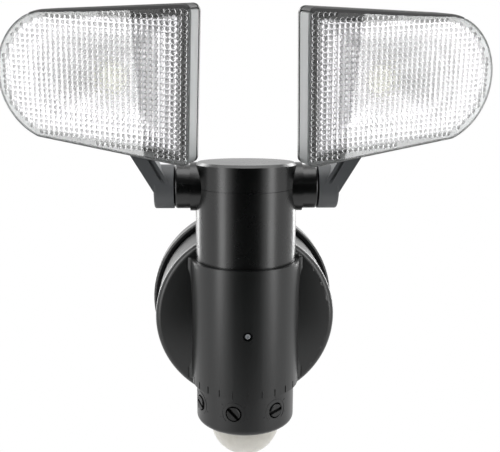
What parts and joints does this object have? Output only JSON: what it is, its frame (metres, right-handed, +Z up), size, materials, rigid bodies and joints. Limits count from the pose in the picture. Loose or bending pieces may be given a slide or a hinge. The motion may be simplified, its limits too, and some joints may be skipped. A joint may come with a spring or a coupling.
{
  "type": "motion sensor security light",
  "caption": "Wall-mounted twin-head floodlight: a round base with a vertical column carries two tilting, swivelling lamp heads above a turnable motion sensor with setting dials.",
  "frame": {"origin": "centre of the wall plate's back face", "axes": "+Y into the wall, the light's front faces -Y, +X to the right seen from the front, +Z up"},
  "size_m": [0.2722, 0.1258, 0.2712],
  "materials": {
    "housing_plastic": "satin moulded",
    "cap_plastic": "satin moulded",
    "arm_plastic": "fine grained",
    "dial_plastic": "satin moulded",
    "lens_clear": "clear prismatic",
    "sensor_lens_white": "milky fresnel",
    "reflector_silver": "metallised",
    "seal_rubber": "moulded",
    "screw_steel": "zinc plated",
    "clip_steel": "spring steel",
    "board_aluminium": "white solder mask",
    "board_green": "solder mask",
    "led_phosphor": "phosphor coated",
    "terminal_white": "moulded",
    "terminal_brass": "machined",
    "coil_tape": "taped",
    "capacitor_sleeve": "shrink sleeve",
    "sensor_can": "nickel plated",
    "inner_plastic": "moulded"
  },
  "bodies": {
    "base": {"wall_plate": "housing_plastic", "wall_gasket": "seal_rubber", "cable_grommet": "seal_rubber", "cable_clamp": "inner_plastic", "clamp_screws": "screw_steel", "terminal_block": "terminal_white", "terminal_screws": "terminal_brass", "base_housing": "housing_plastic", "base_screws": "screw_steel", "column_lock_screw": "screw_steel", "column_tube": "housing_plastic", "column_cap": "cap_plastic", "driver_board": "board_green", "driver_transformer": "coil_tape", "driver_capacitor": "capacitor_sleeve", "left_arm_seal": "seal_rubber", "right_arm_seal": "seal_rubber"},
    "sensor_head": {"sensor_housing": "housing_plastic", "sensor_retaining_ring": "inner_plastic", "sensor_lens": "sensor_lens_white", "lens_retainer": "inner_plastic", "sensor_board": "board_green", "pir_holder": "inner_plastic", "pir_element": "sensor_can", "potentiometers": "inner_plastic"},
    "left_arm_body": {"left_arm": "arm_plastic", "left_arm_clip": "clip_steel", "left_swivel_pin": "screw_steel"},
    "left_head_body": {"left_head_shell": "housing_plastic", "left_head_lens": "lens_clear", "left_head_gasket": "seal_rubber", "left_reflector": "reflector_silver", "left_led_board": "board_aluminium", "left_led_chip": "led_phosphor", "left_head_screws": "screw_steel"},
    "right_arm_body": {"right_arm": "arm_plastic", "right_arm_clip": "clip_steel", "right_swivel_pin": "screw_steel"},
    "right_head_body": {"right_head_shell": "housing_plastic", "right_head_lens": "lens_clear", "right_head_gasket": "seal_rubber", "right_reflector": "reflector_silver", "right_led_board": "board_aluminium", "right_led_chip": "led_phosphor", "right_head_screws": "screw_steel"},
    "left_dial_body": {"left_dial": "dial_plastic"},
    "middle_dial_body": {"middle_dial": "dial_plastic"},
    "right_dial_body": {"right_dial": "dial_plastic"}
  },
  "joints": [
    {"name": "left_arm_tilt", "type": "hinge", "parent": "base", "child": "left_arm_body", "pos_m": [-0.042, -0.058, 0.083], "axis": [1, 0, 0], "range_deg": [-31.5, 53.5]},
    {"name": "left_head_swivel", "type": "hinge", "parent": "left_arm_body", "child": "left_head_body", "pos_m": [-0.0713, -0.06355, 0.13168], "axis": [0, 0.1132, -0.9936], "range_deg": [-26.5, 23.5]},
    {"name": "right_arm_tilt", "type": "hinge", "parent": "base", "child": "right_arm_body", "pos_m": [0.042, -0.058, 0.083], "axis": [1, 0, 0], "range_deg": [-32.5, 52.5]},
    {"name": "right_head_swivel", "type": "hinge", "parent": "right_arm_body", "child": "right_head_body", "pos_m": [0.0713, -0.0644, 0.13158], "axis": [0, -0.1305, 0.9914], "range_deg": [-24, 26]},
    {"name": "sensor_turn", "type": "hinge", "parent": "base", "child": "sensor_head", "pos_m": [0, -0.058, -0.05], "axis": [0, 0, 1], "range_deg": [-59.3, 90.7]},
    {"name": "left_dial_turn", "type": "hinge", "parent": "sensor_head", "child": "left_dial_body", "pos_m": [-0.02618, -0.06927, -0.0493], "axis": [-0.9184, -0.3955, 0], "range_deg": [-90, 180]},
    {"name": "middle_dial_turn", "type": "hinge", "parent": "sensor_head", "child": "middle_dial_body", "pos_m": [-0.00771, -0.08544, -0.0493], "axis": [-0.2706, -0.9627, 0], "range_deg": [-105, 165]},
    {"name": "right_dial_turn", "type": "hinge", "parent": "sensor_head", "child": "right_dial_body", "pos_m": [0.01647, -0.08126, -0.0493], "axis": [0.5779, -0.8161, 0], "range_deg": [-150, 120]}
  ]
}
